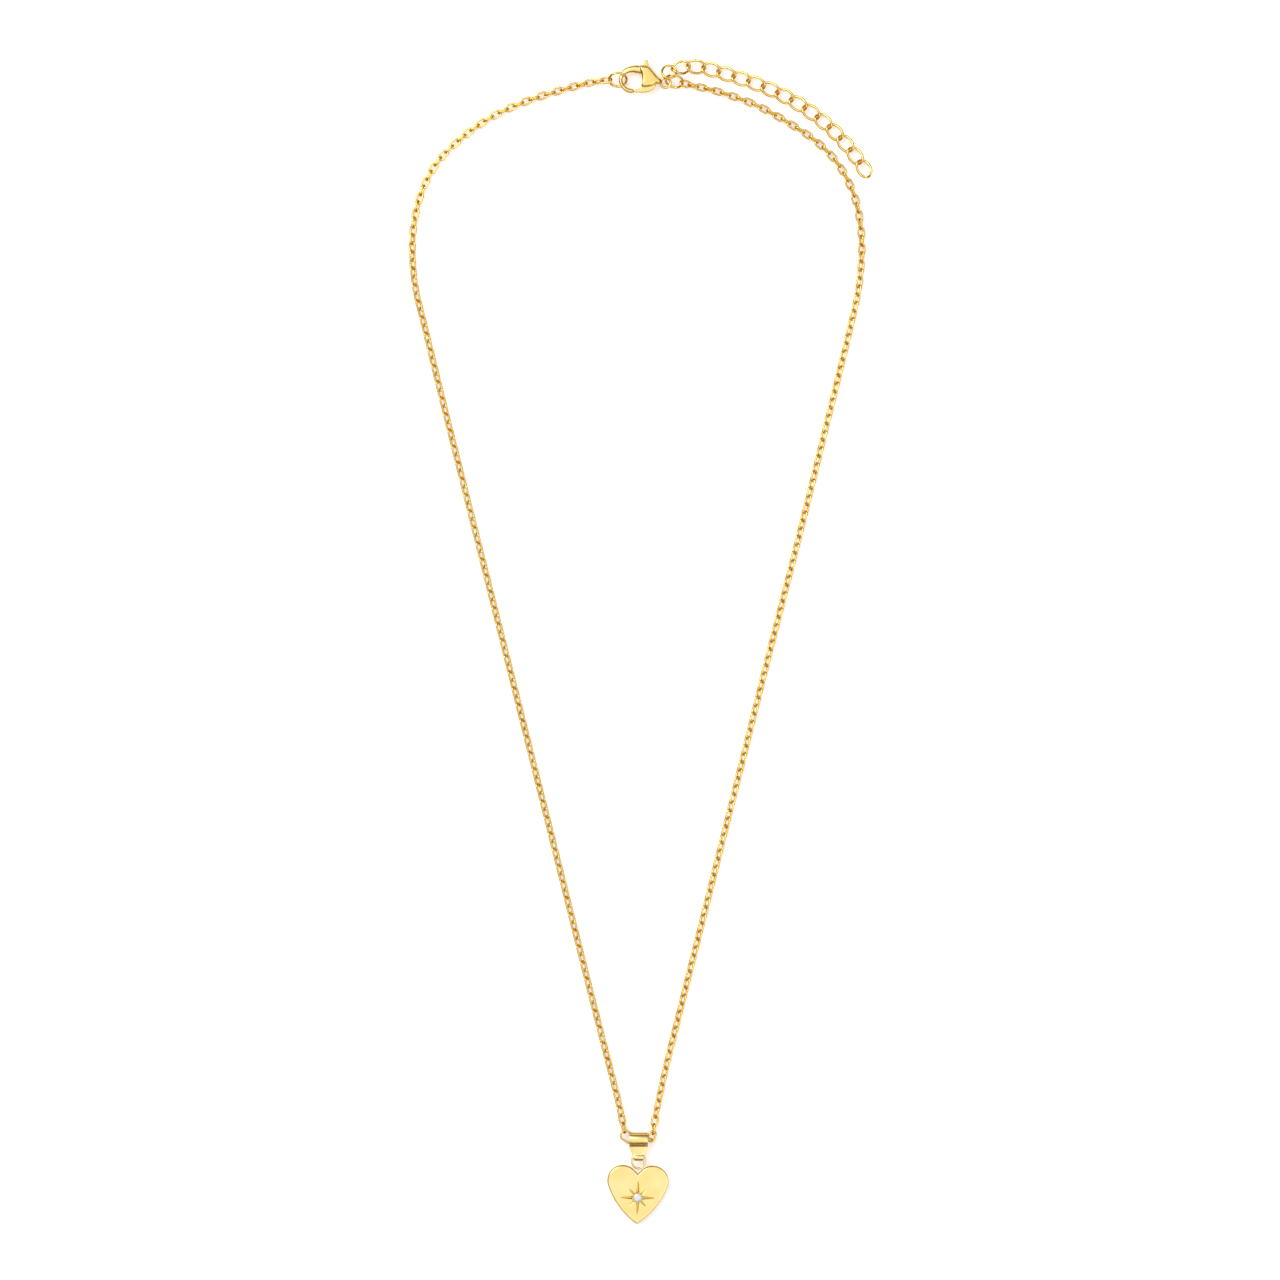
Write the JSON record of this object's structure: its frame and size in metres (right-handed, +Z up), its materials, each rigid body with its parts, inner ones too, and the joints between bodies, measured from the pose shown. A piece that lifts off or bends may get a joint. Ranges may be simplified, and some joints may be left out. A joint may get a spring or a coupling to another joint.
{
  "type": "pendant necklace",
  "caption": "Fine cable-chain necklace laid flat, with lobster clasp, extension chain and a heart pendant with an engraved star and a round stone on a folded bail.",
  "frame": {"origin": "centre of the laid-out necklace, on the surface it lies on", "axes": "+X to the right of the laid-out necklace, +Y from the pendant to the clasp, +Z up from the surface"},
  "size_m": [0.0927, 0.2329, 0.0035],
  "materials": {
    "chain_gold": "gold-plated round wire, polished",
    "extension_gold": "gold-plated round wire, polished",
    "ring_gold": "gold-plated round wire, polished",
    "clasp_gold": "gold-plated casting, polished",
    "bail_gold": "gold-plated strip with fine rolling lines",
    "pendant_gold": "gold-plated plate, polished and softly domed at the edge",
    "spring_steel": "drawn spring wire",
    "stone": "clear cut stone"
  },
  "bodies": {
    "chain_middle": {"chain_middle": "chain_gold"},
    "chain_left_01": {"chain_left_01": "chain_gold"},
    "chain_left_02": {"chain_left_02": "chain_gold"},
    "chain_left_03": {"chain_left_03": "chain_gold"},
    "chain_left_04": {"chain_left_04": "chain_gold"},
    "chain_left_05": {"chain_left_05": "chain_gold"},
    "chain_left_06": {"chain_left_06": "chain_gold"},
    "chain_left_07": {"chain_left_07": "chain_gold"},
    "chain_left_08": {"chain_left_08": "chain_gold"},
    "chain_left_09": {"chain_left_09": "chain_gold"},
    "chain_left_10": {"chain_left_10": "chain_gold"},
    "chain_left_11": {"chain_left_11": "chain_gold"},
    "chain_left_12": {"chain_left_12": "chain_gold"},
    "chain_left_13": {"chain_left_13": "chain_gold"},
    "chain_right_01": {"chain_right_01": "chain_gold"},
    "chain_right_02": {"chain_right_02": "chain_gold"},
    "chain_right_03": {"chain_right_03": "chain_gold"},
    "chain_right_04": {"chain_right_04": "chain_gold"},
    "chain_right_05": {"chain_right_05": "chain_gold"},
    "chain_right_06": {"chain_right_06": "chain_gold"},
    "chain_right_07": {"chain_right_07": "chain_gold"},
    "chain_right_08": {"chain_right_08": "chain_gold"},
    "chain_right_09": {"chain_right_09": "chain_gold"},
    "chain_right_10": {"chain_right_10": "chain_gold"},
    "chain_right_11": {"chain_right_11": "chain_gold"},
    "chain_right_12": {"chain_right_12": "chain_gold"},
    "chain_right_13": {"chain_right_13": "chain_gold"},
    "end_ring": {"end_ring": "ring_gold"},
    "clasp_ring": {"clasp_ring": "ring_gold", "clasp_body": "clasp_gold", "clasp_pin": "clasp_gold", "clasp_spring": "spring_steel"},
    "clasp_lever": {"clasp_lever": "clasp_gold"},
    "extension_ring": {"extension_ring": "ring_gold"},
    "extension_link_01": {"extension_link_01": "extension_gold"},
    "extension_link_02": {"extension_link_02": "extension_gold"},
    "extension_link_03": {"extension_link_03": "extension_gold"},
    "extension_link_04": {"extension_link_04": "extension_gold"},
    "extension_link_05": {"extension_link_05": "extension_gold"},
    "extension_link_06": {"extension_link_06": "extension_gold"},
    "extension_link_07": {"extension_link_07": "extension_gold"},
    "extension_link_08": {"extension_link_08": "extension_gold"},
    "extension_link_09": {"extension_link_09": "extension_gold"},
    "extension_link_10": {"extension_link_10": "extension_gold"},
    "extension_link_11": {"extension_link_11": "extension_gold"},
    "extension_link_12": {"extension_link_12": "extension_gold"},
    "extension_link_13": {"extension_link_13": "extension_gold"},
    "extension_link_14": {"extension_link_14": "extension_gold"},
    "extension_link_15": {"extension_link_15": "extension_gold"},
    "bail": {"bail": "bail_gold"},
    "heart": {"heart_ring": "pendant_gold", "heart_plate": "pendant_gold", "stone": "stone"}
  },
  "joints": [
    {"name": "chain_left_01_bend", "type": "hinge", "parent": "chain_middle", "child": "chain_left_01", "pos_m": [-0.00342, -0.09662, 0.00121], "axis": [0.9799, 0.1993, 0], "range_deg": [-45, 45]},
    {"name": "chain_left_02_bend", "type": "hinge", "parent": "chain_left_01", "child": "chain_left_02", "pos_m": [-0.00774, -0.07888, 0.00071], "axis": [-0.9687, -0.2481, 0], "range_deg": [-45, 45]},
    {"name": "chain_left_03_bend", "type": "hinge", "parent": "chain_left_02", "child": "chain_left_03", "pos_m": [-0.01221, -0.06116, 0.00065], "axis": [0, 0, 1], "range_deg": [0, 45]},
    {"name": "chain_left_04_bend", "type": "hinge", "parent": "chain_left_03", "child": "chain_left_04", "pos_m": [-0.01664, -0.04343, 0.00066], "axis": [0.9702, 0.2425, 0], "range_deg": [-45, 45]},
    {"name": "chain_left_05_bend", "type": "hinge", "parent": "chain_left_04", "child": "chain_left_05", "pos_m": [-0.02107, -0.02571, 0.00066], "axis": [-0.9701, -0.2425, 0], "range_deg": [-45, 45]},
    {"name": "chain_left_06_bend", "type": "hinge", "parent": "chain_left_05", "child": "chain_left_06", "pos_m": [-0.0255, -0.00798, 0.00066], "axis": [0, 0, 1], "range_deg": [0, 45]},
    {"name": "chain_left_07_bend", "type": "hinge", "parent": "chain_left_06", "child": "chain_left_07", "pos_m": [-0.02994, 0.00975, 0.00066], "axis": [0.9701, 0.2425, 0], "range_deg": [-45, 45]},
    {"name": "chain_left_08_bend", "type": "hinge", "parent": "chain_left_07", "child": "chain_left_08", "pos_m": [-0.03437, 0.02747, 0.00066], "axis": [-0.97, -0.2431, 0], "range_deg": [-45, 45]},
    {"name": "chain_left_09_bend", "type": "hinge", "parent": "chain_left_08", "child": "chain_left_09", "pos_m": [-0.0388, 0.0452, 0.00066], "axis": [0, 0, 1], "range_deg": [0, 45]},
    {"name": "chain_left_10_bend", "type": "hinge", "parent": "chain_left_09", "child": "chain_left_10", "pos_m": [-0.04313, 0.06295, 0.00066], "axis": [0.9693, 0.2458, 0], "range_deg": [-45, 45]},
    {"name": "chain_left_11_bend", "type": "hinge", "parent": "chain_left_10", "child": "chain_left_11", "pos_m": [-0.04544, 0.08098, 0.00066], "axis": [0, 0, 1], "range_deg": [-45, 45]},
    {"name": "chain_left_12_bend", "type": "hinge", "parent": "chain_left_11", "child": "chain_left_12", "pos_m": [-0.03876, 0.09757, 0.0008], "axis": [-0.6909, 0.7229, 0], "range_deg": [-45, 45]},
    {"name": "chain_left_13_bend", "type": "hinge", "parent": "chain_left_12", "child": "chain_left_13", "pos_m": [-0.02353, 0.10739, 0.00084], "axis": [0.3533, -0.9355, 0], "range_deg": [-45, 45]},
    {"name": "chain_right_01_bend", "type": "hinge", "parent": "chain_middle", "child": "chain_right_01", "pos_m": [0.00222, -0.0998, 0.00135], "axis": [-0.9545, 0.2982, 0], "range_deg": [-30, 30]},
    {"name": "chain_right_02_bend", "type": "hinge", "parent": "chain_right_01", "child": "chain_right_02", "pos_m": [0.00593, -0.08232, 0.00074], "axis": [0.971, -0.239, 0], "range_deg": [-45, 45]},
    {"name": "chain_right_03_bend", "type": "hinge", "parent": "chain_right_02", "child": "chain_right_03", "pos_m": [0.01035, -0.06461, 0.00065], "axis": [0, 0, -1], "range_deg": [0, 45]},
    {"name": "chain_right_04_bend", "type": "hinge", "parent": "chain_right_03", "child": "chain_right_04", "pos_m": [0.01478, -0.0469, 0.00066], "axis": [-0.9701, 0.2425, 0], "range_deg": [-45, 45]},
    {"name": "chain_right_05_bend", "type": "hinge", "parent": "chain_right_04", "child": "chain_right_05", "pos_m": [0.0192, -0.02919, 0.00066], "axis": [0.9701, -0.2425, 0], "range_deg": [-45, 45]},
    {"name": "chain_right_06_bend", "type": "hinge", "parent": "chain_right_05", "child": "chain_right_06", "pos_m": [0.02362, -0.01148, 0.00066], "axis": [0, 0, -1], "range_deg": [0, 45]},
    {"name": "chain_right_07_bend", "type": "hinge", "parent": "chain_right_06", "child": "chain_right_07", "pos_m": [0.02809, 0.00622, 0.00066], "axis": [-0.9688, 0.2476, 0], "range_deg": [-45, 45]},
    {"name": "chain_right_08_bend", "type": "hinge", "parent": "chain_right_07", "child": "chain_right_08", "pos_m": [0.03258, 0.02392, 0.00066], "axis": [0.9705, -0.2412, 0], "range_deg": [-45, 45]},
    {"name": "chain_right_09_bend", "type": "hinge", "parent": "chain_right_08", "child": "chain_right_09", "pos_m": [0.03694, 0.04165, 0.00066], "axis": [0, 0, -1], "range_deg": [0, 45]},
    {"name": "chain_right_10_bend", "type": "hinge", "parent": "chain_right_09", "child": "chain_right_10", "pos_m": [0.04128, 0.05938, 0.00066], "axis": [-0.9729, 0.2313, 0], "range_deg": [-45, 45]},
    {"name": "chain_right_11_bend", "type": "hinge", "parent": "chain_right_10", "child": "chain_right_11", "pos_m": [0.04432, 0.07734, 0.00066], "axis": [0, 0, 1], "range_deg": [0, 45]},
    {"name": "chain_right_12_bend", "type": "hinge", "parent": "chain_right_11", "child": "chain_right_12", "pos_m": [0.03988, 0.09473, 0.00078], "axis": [0.8056, 0.5925, 0], "range_deg": [-45, 45]},
    {"name": "chain_right_13_bend", "type": "hinge", "parent": "chain_right_12", "child": "chain_right_13", "pos_m": [0.02555, 0.10575, 0.00084], "axis": [-0.4525, -0.8918, 0], "range_deg": [-45, 45]},
    {"name": "end_ring_turn", "type": "hinge", "parent": "chain_left_13", "child": "end_ring", "pos_m": [-0.00443, 0.11196, 0.00131], "axis": [0, -0.682, 0.7314], "range_deg": [-90, 90]},
    {"name": "clasp_ring_swing", "type": "hinge", "parent": "chain_right_13", "child": "clasp_ring", "pos_m": [0.0083, 0.11128, 0.0018], "axis": [0.2164, 0.9763, 0], "range_deg": [-45, 45]},
    {"name": "clasp_lever_pull", "type": "hinge", "parent": "clasp_ring", "child": "clasp_lever", "pos_m": [0.0022, 0.1127, 0.0013], "axis": [0, 0, -1], "range_deg": [0, 25], "stiffness_Nm_per_rad": 0.002, "springref_deg": -20.05, "deforming": ["clasp_spring"]},
    {"name": "extension_ring_swing", "type": "hinge", "parent": "clasp_ring", "child": "extension_ring", "pos_m": [0.006, 0.1123, 0.0025], "axis": [0, 0, 1], "range_deg": [0, 20]},
    {"name": "extension_link_01_bend", "type": "hinge", "parent": "extension_ring", "child": "extension_link_01", "pos_m": [0.00661, 0.11404, 0.00167], "axis": [0.1959, -0.9806, 0], "range_deg": [-5, 30]},
    {"name": "extension_link_02_bend", "type": "hinge", "parent": "extension_link_01", "child": "extension_link_02", "pos_m": [0.00966, 0.11465, 0.00142], "axis": [0, 0, 1], "range_deg": [0, 30]},
    {"name": "extension_link_03_bend", "type": "hinge", "parent": "extension_link_02", "child": "extension_link_03", "pos_m": [0.01272, 0.11442, 0.00101], "axis": [0.2671, 0.9637, 0], "range_deg": [-30, 30]},
    {"name": "extension_link_04_bend", "type": "hinge", "parent": "extension_link_03", "child": "extension_link_04", "pos_m": [0.01573, 0.11359, 0.00095], "axis": [0, 0, 1], "range_deg": [0, 30]},
    {"name": "extension_link_05_bend", "type": "hinge", "parent": "extension_link_04", "child": "extension_link_05", "pos_m": [0.01871, 0.11269, 0.00094], "axis": [-0.2977, -0.9546, 0], "range_deg": [-30, 30]},
    {"name": "extension_link_06_bend", "type": "hinge", "parent": "extension_link_05", "child": "extension_link_06", "pos_m": [0.02169, 0.11176, 0.00095], "axis": [0, 0, 1], "range_deg": [0, 30]},
    {"name": "extension_link_07_bend", "type": "hinge", "parent": "extension_link_06", "child": "extension_link_07", "pos_m": [0.02461, 0.11068, 0.00095], "axis": [0.3943, 0.919, 0], "range_deg": [-30, 30]},
    {"name": "extension_link_08_bend", "type": "hinge", "parent": "extension_link_07", "child": "extension_link_08", "pos_m": [0.02747, 0.10945, 0.00095], "axis": [0, 0, 1], "range_deg": [0, 30]},
    {"name": "extension_link_09_bend", "type": "hinge", "parent": "extension_link_08", "child": "extension_link_09", "pos_m": [0.03024, 0.10802, 0.00095], "axis": [-0.522, -0.8529, 0], "range_deg": [-30, 30]},
    {"name": "extension_link_10_bend", "type": "hinge", "parent": "extension_link_09", "child": "extension_link_10", "pos_m": [0.0329, 0.10639, 0.00095], "axis": [0, 0, 1], "range_deg": [0, 30]},
    {"name": "extension_link_11_bend", "type": "hinge", "parent": "extension_link_10", "child": "extension_link_11", "pos_m": [0.03544, 0.10458, 0.00095], "axis": [0.6383, 0.7698, 0], "range_deg": [-30, 30]},
    {"name": "extension_link_12_bend", "type": "hinge", "parent": "extension_link_11", "child": "extension_link_12", "pos_m": [0.03784, 0.1026, 0.00095], "axis": [0, 0, 1], "range_deg": [0, 30]},
    {"name": "extension_link_13_bend", "type": "hinge", "parent": "extension_link_12", "child": "extension_link_13", "pos_m": [0.04005, 0.10041, 0.00095], "axis": [-0.7594, -0.6506, 0], "range_deg": [-30, 30]},
    {"name": "extension_link_14_bend", "type": "hinge", "parent": "extension_link_13", "child": "extension_link_14", "pos_m": [0.04208, 0.09804, 0.00095], "axis": [0, 0, 1], "range_deg": [0, 30]},
    {"name": "extension_link_15_bend", "type": "hinge", "parent": "extension_link_14", "child": "extension_link_15", "pos_m": [0.04393, 0.09553, 0.00095], "axis": [0.8453, 0.5343, 0], "range_deg": [-30, 30]},
    {"name": "bail_swing", "type": "hinge", "parent": "chain_middle", "child": "bail", "pos_m": [-0.00028, -0.0998, 0.00135], "axis": [1, 0, 0], "range_deg": [-90, 90]},
    {"name": "heart_swing", "type": "hinge", "parent": "bail", "child": "heart", "pos_m": [-0.00028, -0.1034, 0.0014], "axis": [-1, 0, 0], "range_deg": [-45, 60]}
  ]
}
